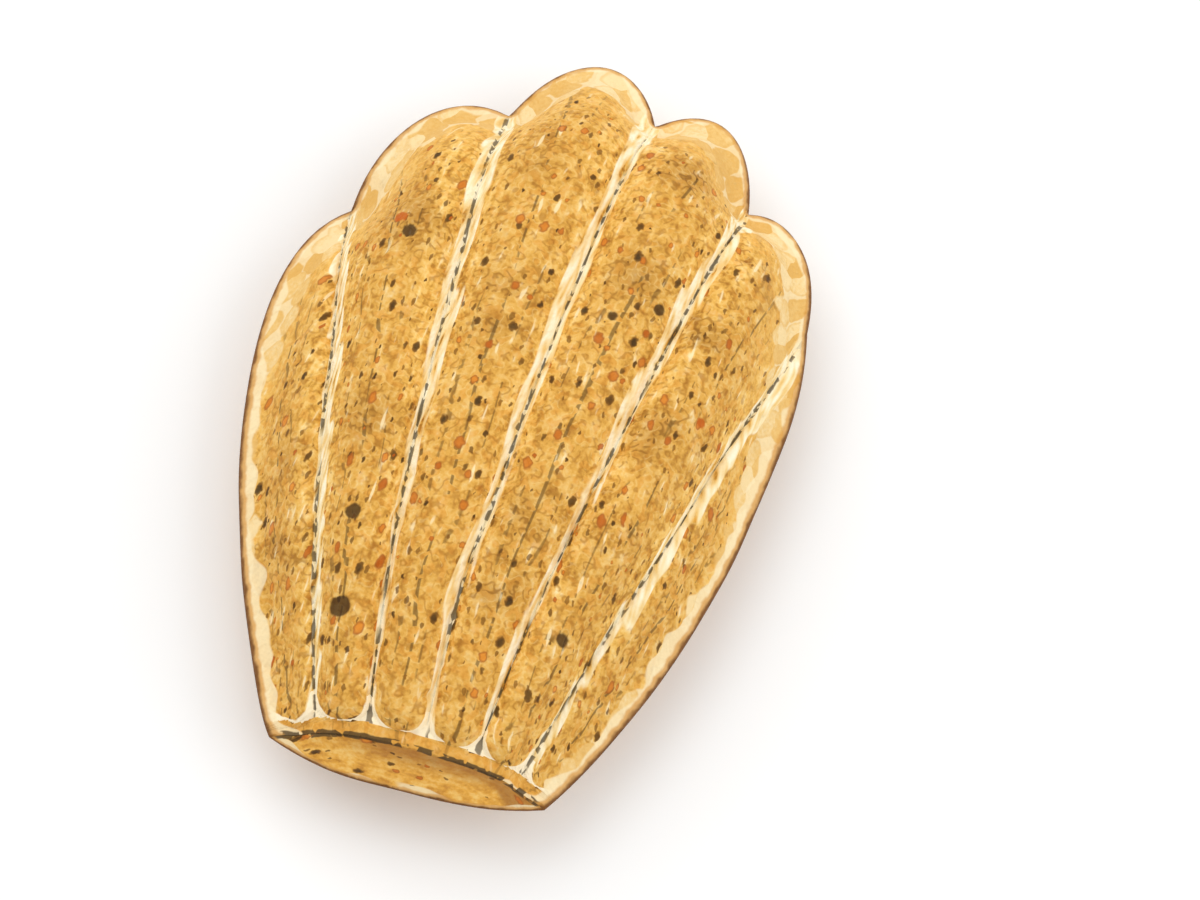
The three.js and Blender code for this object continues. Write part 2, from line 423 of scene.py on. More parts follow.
@dataclass(frozen=True)
class CakeForm:
    """Heights of the two faces of the cake over and under its rim, in mm and in shares."""

    plan: ShellPlan = ShellPlan()
    shell_height: float = 13.2
    peak: float = 0.44  # share along the ribs of the highest point
    fan_drop: float = 0.22  # share of the height lost from there to the scallops
    side_drop: float = 0.33  # share lost from the middle to the sides, at the peak
    end_side_drop: float = 0.93  # and at the narrow end
    side_arch: float = 2.4
    lip: float = 0.7  # radius of the rim's rounded edge
    band: float = 3.0  # width of the flat band round the ribs
    band_height: float = 1.5
    band_fillet: float = 0.5
    shoulder_width: Point = (5.5, 9.0)  # of the fall to the band, at the narrow end and past the peak
    shoulder_powers: Point = (2.2, 1.35)
    groove_depth: Point = (1.6, 3.1)  # at the narrow end and at the scallops
    groove_fade: Point = (0.5, 6.0)  # distances to the rim between which a groove gets its depth
    rib_powers: Point = (2.2, 0.75)
    outer_half: float = 0.35  # how much a side rib's outer half falls, where 1 is a full groove
    toe_start: float = 1.3  # width of the plain ledge between the slanted face and the ribs
    toe_length: float = 2.4  # length over which a rib rises from it
    rib_length: float = 70.0
    end_edge: Point = (0.05, 0.8)  # least and full rounding between the slanted face and the shell
    rim_height: float = 8.1  # over the ground
    hump_centre: Point = (1.5, 36.5)
    hump_halves: Point = (23.0, 32.0)
    hump_round: float = 1.5
    hump_crown: float = 1.14
    hump_flatten: float = 0.06

    def lip_height(self, distance: Array) -> Array:
        """Height of the quarter-round edge at a distance from it."""
        return self.lip * np.sqrt(1 - (1 - np.clip(distance / self.lip, 0, 1)) ** 2)

    def vault(self, place: Array, along: Array) -> Array:
        """The smooth vault over the ribs' crests, which starts a groove's depth over the slanted face.

        Two parabolas that meet at the peak, times 1 less a share of the place aside to a power.

        Args:
            place: places from -1 at the left side to 1 at the right side.
            along: shares along the ribs, as a column.

        Returns:
            Heights over the rim, one for each share and place.
        """
        start = (self.plan.end_height + self.groove_depth[0]) / self.shell_height
        rising = 1 - (1 - start) * (1 - along / self.peak) ** 2
        falling = 1 - self.fan_drop * ((along - self.peak) / (1 - self.peak)) ** 2
        drop = lerp(self.end_side_drop, self.side_drop, smoothstep(along, 0, self.peak))
        lengthwise = np.where(along < self.peak, rising, falling)
        return self.shell_height * lengthwise * (1 - drop * np.abs(place) ** self.side_arch)

    def shoulder(self, distance: Array, along: Array) -> Array:
        """Share of the vault's height near the rim: none on the band, then a superellipse's round rise.

        Args:
            distance: soft distances to the rim.
            along: shares along the ribs, as a column.

        Returns:
            One share for each distance.
        """
        start = self.band_fillet - self.band
        soft = [(v + np.hypot(v, self.band_fillet)) / 2 for v in (distance + start, start)]
        width = lerp(*self.shoulder_width, smoothstep(along, 0, self.peak))
        out, up = self.shoulder_powers
        return (1 - (1 - np.clip((soft[0] - soft[1]) / width, 0, 1)) ** out) ** (1 / up)

    def rib_section(self, rib: Array, across: Array, along: Array) -> Array:
        """A rib's section, 1 on its crest, 0 in the grooves and before its toe.

        It is a power of 1 less powers of the place aside and of the place before the toe's top.

        Args:
            rib: number of the rib of each column.
            across: share across its rib of each column.
            along: share along of each row, as a column.

        Returns:
            One share for each row and column.
        """
        outer = ((rib == 0) & (across < 0.5)) | ((rib == self.plan.ribs - 1) & (across > 0.5))
        off = np.abs(2 * across - 1) * np.where(outer, self.outer_half, 1)
        toe = (self.toe_length + self.toe_start - along * self.rib_length) / self.toe_length
        aside, up = self.rib_powers
        return np.clip(1 - off**aside - np.clip(toe, 0, 2) ** aside, 0, 1) ** up

    def height(self, points: Array, distance: Array, rib: Array, across: Array, along: Array) -> Array:
        """Height of the shell side over the rim.

        The band, plus the shoulder's share of the vault, less the grooves, cut off by the slanted face.

        Args:
            points: plan points, of shape (rows, columns, 2).
            distance: their soft distances to the rim.
            rib: number of the rib of each column.
            across: share across its rib of each column.
            along: share along of each row, as a column.

        Returns:
            One height for each point.
        """
        run = np.clip(along, 0, 1)
        place = 2 * (rib + across) / self.plan.ribs - 1
        band = self.lip_height(distance)
        band = band + (self.band_height - self.lip) * smoothstep(distance, 0, self.band)
        groove = lerp(*self.groove_depth, run) * (1 - self.rib_section(rib, across, run))
        ribbed = band + self.shoulder(distance, run) * (self.vault(place, run) - self.band_height)
        ribbed = ribbed - groove * smoothstep(distance, *self.groove_fade)
        slanted = (points[..., 1] - self.plan.foot_y(points[..., 0])) * tan(radians(self.plan.end_slope))
        rounding = np.clip(np.maximum(ribbed, slanted), *self.end_edge)
        return np.maximum(soft_min(slanted, np.maximum(ribbed, band), rounding), 0)

    def depth(self, points: Array, distance: Array) -> Array:
        """Depth of the underside under the rim: the rounded edge and the hump, its crown levelled.

        Args:
            points: plan points, of shape (rows, columns, 2).
            distance: their soft distances to the whole outline.

        Returns:
            One depth for each point.
        """
        offset = np.linalg.norm((points - self.hump_centre) / self.hump_halves, axis=-1)
        dome = self.hump_crown * np.clip(1 - offset**2, 0, 1) ** self.hump_round
        hump = (self.rim_height - self.lip) * soft_min(dome, 1, self.hump_flatten)
        return self.lip_height(distance) + hump


# ---- crust relief


@dataclass(frozen=True)
class CrustRelief:
    """Unevenness that the batter and the oven give the crust, in mm."""

    lean: Point = (10.0, 0.22)  # cell and height of the slow warp of the whole cake
    waves: tuple[Point, ...] = ((5.0, 0.12), (2.2, 0.07), (1.0, 0.035))  # cell and height of each
    quiet_rim: float = 1.2  # distance from the rim over which waves and pits fade out
    flat_height: float = 1.2  # height over the ground under which all relief fades out
    pits: int = 420
    pit_radius: Point = (0.35, 0.95)
    pit_rarity: float = 3.0  # power that makes large pits rarer than small ones
    pit_depth: float = 0.42  # share of the radius
    spot_pit: float = 0.18  # depth of a burnt fleck
    spot_slope: Point = (-0.2, 0.3)  # distances inside its edge over which it sinks
    seed: int = 7

    def still(self, points: Array) -> Array:
        """0 where the cake stands, 1 above the flat's height."""
        return smoothstep(points[:, 2], 0.0, self.flat_height)

    def warp(self, points: Array) -> Array:
        """Slow shift of each point, three lattice noises."""
        cell, height = self.lean
        noises = [lattice_noise(points, cell, self.seed + axis) for axis in range(3)]
        return height * np.stack(noises, axis=-1) * self.still(points)[:, None]

    def pitting(self, points: Array, areas: Array) -> Array:
        """Depth of the air holes that opened on the crust.

        Each hole is a bowl (1 - (s / r)^2)^2 deep at a distance s from its middle. Their middles are drawn
        evenly over the surface.

        Args:
            points: places in mm, of shape (n, 3).
            areas: the share of the surface round each point.

        Returns:
            One depth, zero or less, for each point.
        """
        rng = np.random.default_rng(self.seed)
        middles = rng.choice(len(points), self.pits, replace=False, p=areas / areas.sum())
        radii = lerp(*self.pit_radius, rng.random(self.pits) ** self.pit_rarity)
        total = np.zeros(len(points))
        for middle, radius in zip(middles, radii):
            away = ((points - points[middle]) ** 2).sum(axis=1) / radius**2
            total -= self.pit_depth * radius * np.clip(1 - away, 0, 1) ** 2
        return total

    def lift(self, points: Array, areas: Array, distance: Array, burnt: Array) -> Array:
        """Height by which the relief moves each point along its normal.

        The waves are lattice noises, each with a seed of its own. They and the air holes fade out at the
        rim and on the ground, and the burnt flecks are sunk.

        Args:
            points: places in mm, of shape (n, 3).
            areas: the share of the surface round each point.
            distance: their distances to the outline.
            burnt: their distances to the edge of the nearest burnt fleck.

        Returns:
            One height for each point.
        """
        waves = sum(h * lattice_noise(points, c, self.seed + int(10 * c)) for c, h in self.waves)
        quiet = smoothstep(distance, 0.0, self.quiet_rim) * self.still(points)
        sunk = self.spot_pit * smoothstep(-burnt, *self.spot_slope)
        return (waves + self.pitting(points, areas)) * quiet - sunk


# ---- finishes


@dataclass(frozen=True)
class Noise:
    """A noise of the crust, by its size in mm.

    With a stretch it follows the ribs and is that much longer along them. A wide one has three channels,
    which shift places or break up three marks.
    """

    name: str
    size: float
    detail: float = 0.0
    stretch: float = 0.0
    wide: bool = False

    def build(self, tree: bpy.types.NodeTree, place: Socket, flow: Socket) -> Socket:
        """Adds the noise's nodes.

        Args:
            tree: node tree of the material.
            place: place on the cake in mm.
            flow: place on the crust in mm, across and along the ribs.

        Returns:
            The noise, about 0.5.
        """
        if self.stretch:
            squeeze = (1.0, 1 / self.stretch, 1.0)
            place = add_node(tree, "VectorMath", {0: flow, 1: squeeze}, operation="MULTIPLY")
        links = {"Vector": place, "Scale": 1 / self.size, "Detail": self.detail}
        return add_node(tree, "TexNoise", links, "Color" if self.wide else "Fac")


@dataclass(frozen=True)
class Tone:
    """A mottled colour: a ramp of sRGB hex colours over a weighted sum of noises."""

    name: str
    weights: tuple[tuple[str, float], ...]
    stops: Stops

    def build(self, tree: bpy.types.NodeTree, noises: Sockets) -> Socket:
        """Adds the tone's nodes.

        Args:
            tree: node tree of the material.
            noises: the noises by name.

        Returns:
            The colour.
        """
        value = 0.0
        for name, weight in self.weights:
            value = add_node(tree, "Math", {0: noises[name], 1: weight, 2: value}, operation="MULTIPLY_ADD")
        return add_node(tree, "ValToRGB", {"Fac": value}, stops=self.stops)


@dataclass(frozen=True)
class Mask:
    """Where a colour or a kind of mark shows on the crust, from 0 at begin to 1 at full.

    With a field it goes by that distance on the mesh, in mm, which the noise moves to and fro by stray mm,
    and the distance to the nearest lump's middle, in lumps, adds push mm to it. Without a field it goes by
    how far the noise is from its middle. A line has the same value on both sides of 0.
    """

    name: str
    noise: str
    begin: float
    full: float
    field: str = ""
    stray: float = 0.0
    push: float = 0.0
    line: bool = False

    def build(self, tree: bpy.types.NodeTree, noises: Sockets) -> Socket:
        """Adds the mask's nodes.

        Args:
            tree: node tree of the material.
            noises: the noises by name.

        Returns:
            The mask, from 0 to 1.
        """
        add = partial(add_node, tree)
        place = add("Math", {0: noises[self.noise], 1: NOISE_MIDDLE}, operation="SUBTRACT")
        if self.field:
            field = add("Attribute", out="Fac", attribute_name=self.field)
            if self.push:
                links = {0: noises["lump distance"], 1: self.push, 2: field}
                field = add("Math", links, operation="MULTIPLY_ADD")
            place = add("Math", {0: place, 1: self.stray, 2: field}, operation="MULTIPLY_ADD")
        if self.line:
            place = add("Math", {0: place}, operation="ABSOLUTE")
        links = {"Value": place, "From Min": self.begin, "From Max": self.full}
        return add("MapRange", links, interpolation_type="SMOOTHSTEP" if self.field else "LINEAR")


@dataclass(frozen=True)
class Layer:
    """A colour laid over the crust where all of its masks show, at its strength.

    The colour is an sRGB hex value or the name of a tone.
    """

    name: str
    masks: tuple[str, ...]
    strength: float
    colour: str

    def build(self, tree: bpy.types.NodeTree, under: Socket, masks: Sockets, tones: Sockets) -> Socket:
        """Adds the layer's nodes.

        Args:
            tree: node tree of the material.
            under: colour under the layer.
            masks: the masks by name.
            tones: the tones by name.

        Returns:
            The new colour.
        """
        factor = self.strength
        for name in self.masks:
            factor = add_node(tree, "Math", {0: masks[name], 1: factor}, operation="MULTIPLY")
        colour = tones[self.colour] if self.colour in tones else linear(self.colour)
        links = {MIX_FACTOR: factor, MIX_A: under, MIX_B: colour}
        return add_node(tree, "Mix", links, MIX_COLOUR, data_type="RGBA", label=self.name)


@dataclass(frozen=True)
class Sprinkle:
    """A seeded scatter of small marks on the crust, in mm.

    spacing is the distance between places that may hold a mark, radius the mark's own, stretch how much
    longer it is along a rib, ragged how uneven its outline is, chance the share of places that hold one,
    and shift moves the pattern. A mark's middle has a colour between two, and its outline a third one.
    sizes are its least and largest size, and edge and ring the places where its edge fades and its outline
    begins and is full, as shares of its radius.
    """

    spacing: float
    radius: float
    stretch: float
    ragged: float
    chance: float
    middle: tuple[str, str]
    outline: str
    strength: float
    shift: float
    sizes: Point = (0.4, 1.6)
    edge: Point = (1.2, 0.9)
    ring: Point = (0.5, 0.95)

    def build(
        self, tree: bpy.types.NodeTree, under: Socket, flow: Socket, ragged: Socket, inside: Socket
    ) -> Socket:
        """Adds the scatter's nodes. Each cell of a Voronoi pattern holds a mark round its point, or none.

        Args:
            tree: node tree of the material.
            under: colour under the marks.
            flow: place on the crust in mm, across and along the ribs.
            ragged: noise that makes the marks' outlines uneven.
            inside: share of the marks that each place keeps.

        Returns:
            The new colour.
        """
        add = partial(add_node, tree)
        scales = (1 / self.spacing, 1 / self.spacing / self.stretch, 0.0)
        place = add("VectorMath", {0: ragged, 1: (self.ragged,) * 3, 2: flow}, operation="MULTIPLY_ADD")
        place = add("VectorMath", {0: place, 1: scales, 2: (self.shift,) * 3}, operation="MULTIPLY_ADD")
        cell = add("TexVoronoi", {"Vector": place, "Scale": 1.0}, voronoi_dimensions="2D")
        draw = add("SeparateColor", {"Color": cell.node.outputs["Color"]}).node.outputs
        least, largest = (size * self.radius / self.spacing for size in self.sizes)
        reach = add("MapRange", {"Value": draw["Red"], "To Min": least, "To Max": largest})
        away = add("Math", {0: cell, 1: reach}, operation="DIVIDE")
        allowed = add("Math", {0: inside, 1: self.chance}, operation="MULTIPLY")
        held = add("Math", {0: draw["Green"], 1: allowed}, operation="LESS_THAN")
        shown, ringed = (
            add("MapRange", {"Value": away, "From Min": begin, "From Max": full, "To Max": most})
            for (begin, full), most in ((self.edge, self.strength), (self.ring, 1.0))
        )
        shown = add("Math", {0: shown, 1: held}, operation="MULTIPLY")
        colour, end, outline = map(linear, (*self.middle, self.outline))
        for factor, over in ((draw["Blue"], end), (ringed, outline)):
            links = {MIX_FACTOR: factor, MIX_A: colour, MIX_B: over}
            colour = add("Mix", links, MIX_COLOUR, data_type="RGBA")
        return add("Mix", {MIX_FACTOR: shown, MIX_A: under, MIX_B: colour}, MIX_COLOUR, data_type="RGBA")


@dataclass(frozen=True)
class SpongeCrust:
    """Baked sponge crust: butter, sugar and egg browned against a pan.

    It gives the eye a dry golden skin that is mottled at the size of the crumb, paler where it was thin or
    shaded, browner on its edges, with flecks of burnt sugar and zest and hardly any gloss. Painted shade
    darkens the slanted face under its top edge and on its right, and dashes of painted shade mark the
    bottoms of the grooves. The layers go over the golden tone in turn, then the sprinkles and the large
    flecks.
    """

    name: str = "baked_sponge_crust"
    roughness: float = 0.66
    ior: float = 1.45
    specular: float = 0.20
    crumb_height: float = 0.09
    pore_height: float = 0.10
    pore: float = 0.75  # distance between the crust's fine pores
    lump: float = 3.1  # size of the rounded pale patches of the margin
    lump_bend: float = 0.4  # how far the curl noise bends their outlines
    fringe_loss: float = 0.55  # share of the marks that are missing in the fringe inside the margin
    noises: tuple[Noise, ...] = (
        Noise("crumb", 0.36, detail=2.0),
        Noise("blotch", 1.5, detail=2.0),
        Noise("drift", 2.6),
        Noise("streak", 0.8, detail=1.0, stretch=4.0),
        Noise("furrow", 1.5, stretch=7.0, wide=True),
        Noise("ragged", 0.36, wide=True),
        Noise("curl", 0.8, wide=True),
    )
    baked: tuple[tuple[str, float], ...] = (("crumb", 0.26), ("streak", 0.32), ("blotch", 0.42))
    patchy: tuple[tuple[str, float], ...] = (("crumb", 0.30), ("blotch", 0.25), ("lump Red", 0.45))
    golden: Stops = (
        (0.34, "#a26b26"),
        (0.42, "#c8923a"),
        (0.47, "#e0aa4b"),
        (0.53, "#ecba5e"),
        (0.60, "#f2ca7a"),
        (0.69, "#fae2a8"),
    )
    pale: Stops = ((0.30, "#dfad5a"), (0.48, "#e9bf74"), (0.66, "#f2d59c"))
    cream: Stops = ((0.38, "#efca82"), (0.5, "#f9e3b0"), (0.62, "#fff3d2"))
    face: Stops = ((0.39, "#cc8c32"), (0.5, "#eaac46"), (0.62, "#f8c970"))
    hump: Stops = ((0.36, "#a3682a"), (0.5, "#cf9444"), (0.64, "#e6b668"))
    masks: tuple[Mask, ...] = (
        # Parts of the crust.
        Mask("rib", "blotch", 2.2, 0.2, "rib", 0.9),
        Mask("fringe", "blotch", 1.9, 0.2, "fringe", 2.4),
        Mask("margin", "blotch", 0.12, -0.12, "margin", 0.5, push=1.55),
        Mask("groove", "furrow Red", 0.86, 0.62, "groove", 2.4),
        Mask("toe", "blotch", 0.74, 0.56, "toe", 0.8),
        Mask("band", "blotch", 1.45, 1.15, "face", 0.4),
        Mask("face", "blotch", 0.12, -0.12, "face", 0.5),
        Mask("rim", "drift", 0.12, -0.12, "rim", 2.4),
        Mask("under", "blotch", 0.40, 1.30, "under", 0.9),
        Mask("tan", "blotch", 0.84, 0.52, "edge", 0.7),
        Mask("edge", "blotch", 0.49, 0.13, "edge", 0.7),
        # Lines along it; the crease line is painted shade at the bottom of the grooves.
        Mask("ridge", "furrow Red", 0.21, 0.09, "ridge", 1.1, line=True),
        Mask("seam", "furrow Red", 0.17, 0.06, "rib", 1.8, line=True),
        Mask("crease", "blotch", 0.40, 0.25, "crease", 0.4),
        Mask("arris", "blotch", 0.42, 0.27, "face", 0.5, line=True),
        # Large flecks.
        *(Mask(kind.value, "blotch", 0.10, -0.15, kind.value, 0.6) for kind in Fleck),
        # Contour lines of a smooth noise, which another one breaks into short curled strokes.
        Mask("curl", "curl Red", 0.13, 0.03, line=True),
        Mask("glint", "curl Green", 0.08, 0.02, line=True),
        Mask("broken", "curl Blue", 0.0, 0.08),
        Mask("rest", "curl Blue", 0.0, -0.06),
        # What makes dashes of the lines.
        Mask("dash", "curl Blue", -0.05, -0.01),
        Mask("trace", "curl Green", -0.08, -0.04),
        Mask("stroke", "curl Green", -0.14, -0.10),
        Mask("run", "furrow Blue", -0.14, -0.08),
        Mask("side_run", "furrow Green", 0.0, 0.05),
        # Patches.
        Mask("warm", "curl Green", -0.04, -0.16),
        Mask("slash", "streak", 0.18, 0.24),
        Mask("bare", "streak", -0.20, -0.13),
        Mask("rind", "lump distance", -0.08, 0.02),
        Mask("gap", "lump distance", 0.05, 0.10),
    )
    # The strip field is painted shade on the slanted face.
    shares: tuple[str, ...] = ("toast", "strip")  # fields of the mesh that are masks as they are
    margin_layers: tuple[Layer, ...] = (
        Layer("rinds_of_lumps", ("rind",), 0.4, "#dfad5a"),
        Layer("gaps_between_lumps", ("gap",), 0.6, "#f6e2b4"),
    )
    layers: tuple[Layer, ...] = (
        Layer("browner_crests", ("rib", "middle"), 0.34, "#c98f3a"),
        Layer("warm_patches", ("warm",), 0.24, "#dd8a28"),
        Layer("toasted_patches", ("toast",), 0.54, "#a0681c"),
        Layer("light_curls", ("glint", "rest"), 0.25, "#f8d488"),
        Layer("brown_curls", ("curl", "broken", "middle"), 0.54, "#a56a1c"),
        Layer("scorched_curls", ("toast", "curl", "broken"), 0.66, "#7a5218"),
        Layer("crest_dashes", ("ridge", "trace", "run"), 0.72, "#66491c"),
        Layer("side_dashes", ("seam", "dash", "side_run"), 0.55, "#66491c"),
        Layer("pale_slashes", ("slash",), 0.65, "#fbe6b4"),
        Layer("fringe", ("fringe",), 0.26, "#edb85c"),
        Layer("margin", ("margin",), 1.0, "pale"),
        Layer("pale_grooves", ("groove", "bare"), 0.95, "cream"),
        Layer("gaps_between_toes", ("toe",), 0.95, "#ffedc8"),
        # Dark dashes at the bottom of the grooves: painted shade in the creases.
        Layer("crease_shade_dashes", ("crease", "dash", "run"), 0.8, "#54432a"),
        Layer("ledge", ("band",), 0.45, "#e3a040"),
        Layer("slanted_face", ("face",), 1.0, "face"),
        # Painted shade on the slanted face: brown under its top edge, less of it on the left, and over its
        # right part.
        Layer("painted_shade_under_the_ledge", ("strip",), 0.75, "#a0662a"),
        Layer("pale_rim", ("rim",), 0.75, "#f6e2b4"),
        Layer("arris", ("arris", "stroke"), 0.9, "#4f3b20"),
        Layer("hump", ("under",), 1.0, "hump"),
        Layer("tanned_edge", ("tan",), 0.8, "#d29644"),
        Layer("browned_edge", ("edge",), 0.9, "#6c3d0f"),
    )
    plain: tuple[str, ...] = ("margin", "groove", "toe", "ledge", "rim", "under")  # parts with no sprinkles
    sprinkles: tuple[Sprinkle, ...] = (
        Sprinkle(1.25, 0.15, 1.8, 0.30, 0.42, ("#4d2f08", "#8f5d18"), "#83561a", 0.80, 0.0),
        Sprinkle(2.6, 0.27, 1.4, 0.35, 0.46, ("#2b1803", "#5a390c"), "#7a4f16", 0.92, 5.7),
        Sprinkle(2.6, 0.34, 1.25, 0.28, 0.42, ("#b45408", "#e08a2a"), "#a45a1a", 0.88, 12.9),
    )
    flecks: tuple[Layer, ...] = (
        Layer("burnt_flecks", (Fleck.BURNT_SUGAR.value,), 0.9, "#432a0c"),
        Layer("zest_flecks", (Fleck.ORANGE_ZEST.value,), 0.9, "#c05c0c"),
    )

    def material(self) -> bpy.types.Material:
        """Makes the crust's material, all of it worked out from nodes.

        Returns:
            The material.
        """
        material = bpy.data.materials.new(self.name)
        material.use_nodes = True
        tree = material.node_tree
        add = partial(add_node, tree)
        objects = add("TexCoord", out="Object")
        place = add("VectorMath", {0: objects, "Scale": 1 / MM}, operation="SCALE")
        flow = add("Attribute", out="Vector", attribute_name="flow")
        noises = self.build_noises(tree, place, flow)
        masks = self.build_masks(tree, noises)
        tones = self.build_tones(tree, noises, masks)
        colour = tones["golden"]
        for layer in self.layers:
            colour = layer.build(tree, colour, masks, tones)
        for sprinkle in self.sprinkles:
            colour = sprinkle.build(tree, colour, flow, noises["ragged"], masks["inside"])
        for layer in self.flecks:
            colour = layer.build(tree, colour, masks, tones)
        height = add("Math", {0: noises["crumb"], 1: self.crumb_height, 2: 0.0}, operation="MULTIPLY_ADD")
        pores = add("TexVoronoi", {"Vector": flow, "Scale": 1 / self.pore}, voronoi_dimensions="2D")
        height = add("Math", {0: pores, 1: self.pore_height, 2: height}, operation="MULTIPLY_ADD")
        bump = add("Bump", {"Strength": 1.0, "Distance": MM, "Height": height})
        links = {
            "Base Color": colour,
            "Normal": bump,
            "Roughness": self.roughness,
            "IOR": self.ior,
            "Specular IOR Level": self.specular,
        }
        feed(tree, tree.nodes["Principled BSDF"], links)
        return material

    def build_noises(self, tree: bpy.types.NodeTree, place: Socket, flow: Socket) -> Sockets:
        """Adds the noises, and the rounded lumps of the margin as a Voronoi pattern that the curls bend.

        Args:
            tree: node tree of the material.
            place: place on the cake in mm.
            flow: place on the crust in mm, across and along the ribs.

        Returns:
            The noises by name, the channels of the wide ones that the masks use, a tone for each lump and
            the distance to its middle.
        """
        add = partial(add_node, tree)
        noises = {noise.name: noise.build(tree, place, flow) for noise in self.noises}
        bend = {0: noises["curl"], 1: (self.lump_bend,) * 3, 2: flow}
        bent = add("VectorMath", bend, operation="MULTIPLY_ADD")
        distance = add("TexVoronoi", {"Vector": bent, "Scale": 1 / self.lump}, voronoi_dimensions="2D")
        wide = {"curl": noises["curl"], "furrow": noises["furrow"], "lump": distance.node.outputs["Color"]}
        for name, colour in wide.items():
            for channel in add("SeparateColor", {"Color": colour}).node.outputs:
                noises[f"{name} {channel.name}"] = channel
        return {**noises, "lump distance": distance}

    def build_masks(self, tree: bpy.types.NodeTree, noises: Sockets) -> Sockets:
        """Adds the masks, and from them the parts that keep their marks.

        Args:
            tree: node tree of the material.
            noises: the noises by name.

        Returns:
            The masks by name, with "middle" for what the fringe leaves of the marks, "ledge" for the band
            over the slanted face and "inside" for what all plain parts leave of them.
        """
        add = partial(add_node, tree)
        masks = {mask.name: mask.build(tree, noises) for mask in self.masks}
        masks |= {name: add("Attribute", out="Fac", attribute_name=name) for name in self.shares}
        fringe = {0: masks["fringe"], 1: -self.fringe_loss, 2: 1.0}
        masks["middle"] = inside = add("Math", fringe, operation="MULTIPLY_ADD")
        ledge = {0: masks["band"], 1: masks["face"]}
        masks["ledge"] = add("Math", ledge, operation="SUBTRACT", use_clamp=True)
        for name in self.plain:
            rest = add("Math", {0: 1.0, 1: masks[name]}, operation="SUBTRACT")
            inside = add("Math", {0: rest, 1: inside}, operation="MULTIPLY")
        return {**masks, "inside": inside}

    def build_tones(self, tree: bpy.types.NodeTree, noises: Sockets, masks: Sockets) -> Sockets:
        """Adds the mottled colours, the pale one with the rinds of its lumps and the gaps between them.

        Args:
            tree: node tree of the material.
            noises: the noises by name.
            masks: the masks by name.

        Returns:
            The colours by name.
        """
        tones = (
            Tone("golden", self.baked, self.golden),
            Tone("face", self.baked, self.face),
            Tone("hump", self.baked, self.hump),
            Tone("pale", self.patchy, self.pale),
            Tone("cream", (("streak", 1.0),), self.cream),
        )
        colours = {tone.name: tone.build(tree, noises) for tone in tones}
        for layer in self.margin_layers:
            colours["pale"] = layer.build(tree, colours["pale"], masks, {})
        return colours


@dataclass(frozen=True)
class PaperSweep:
    """Matt white paper: an even pale ground with no gloss."""

    name: str = "matt_white_paper"
    colour: str = "#f7f6f3"
    roughness: float = 0.95
    specular: float = 0.1

    def material(self) -> bpy.types.Material:
        """Makes the paper's material.

        Returns:
            The material.
        """
        material = bpy.data.materials.new(self.name)
        material.use_nodes = True
        tree = material.node_tree
        links = {
            "Base Color": linear(self.colour),
            "Roughness": self.roughness,
            "Specular IOR Level": self.specular,
        }
        feed(tree, tree.nodes["Principled BSDF"], links)
        return material


# ---- the cake


@dataclass(frozen=True)
class Spot:
    """A round place on the crust, by its middle in plan and its radius in mm."""

    x: float
    y: float
    radius: float

    def away(self, plan: Array) -> Array:
        """Distances of plan points from the spot's middle."""
        return np.linalg.norm(plan - (self.x, self.y), axis=1)


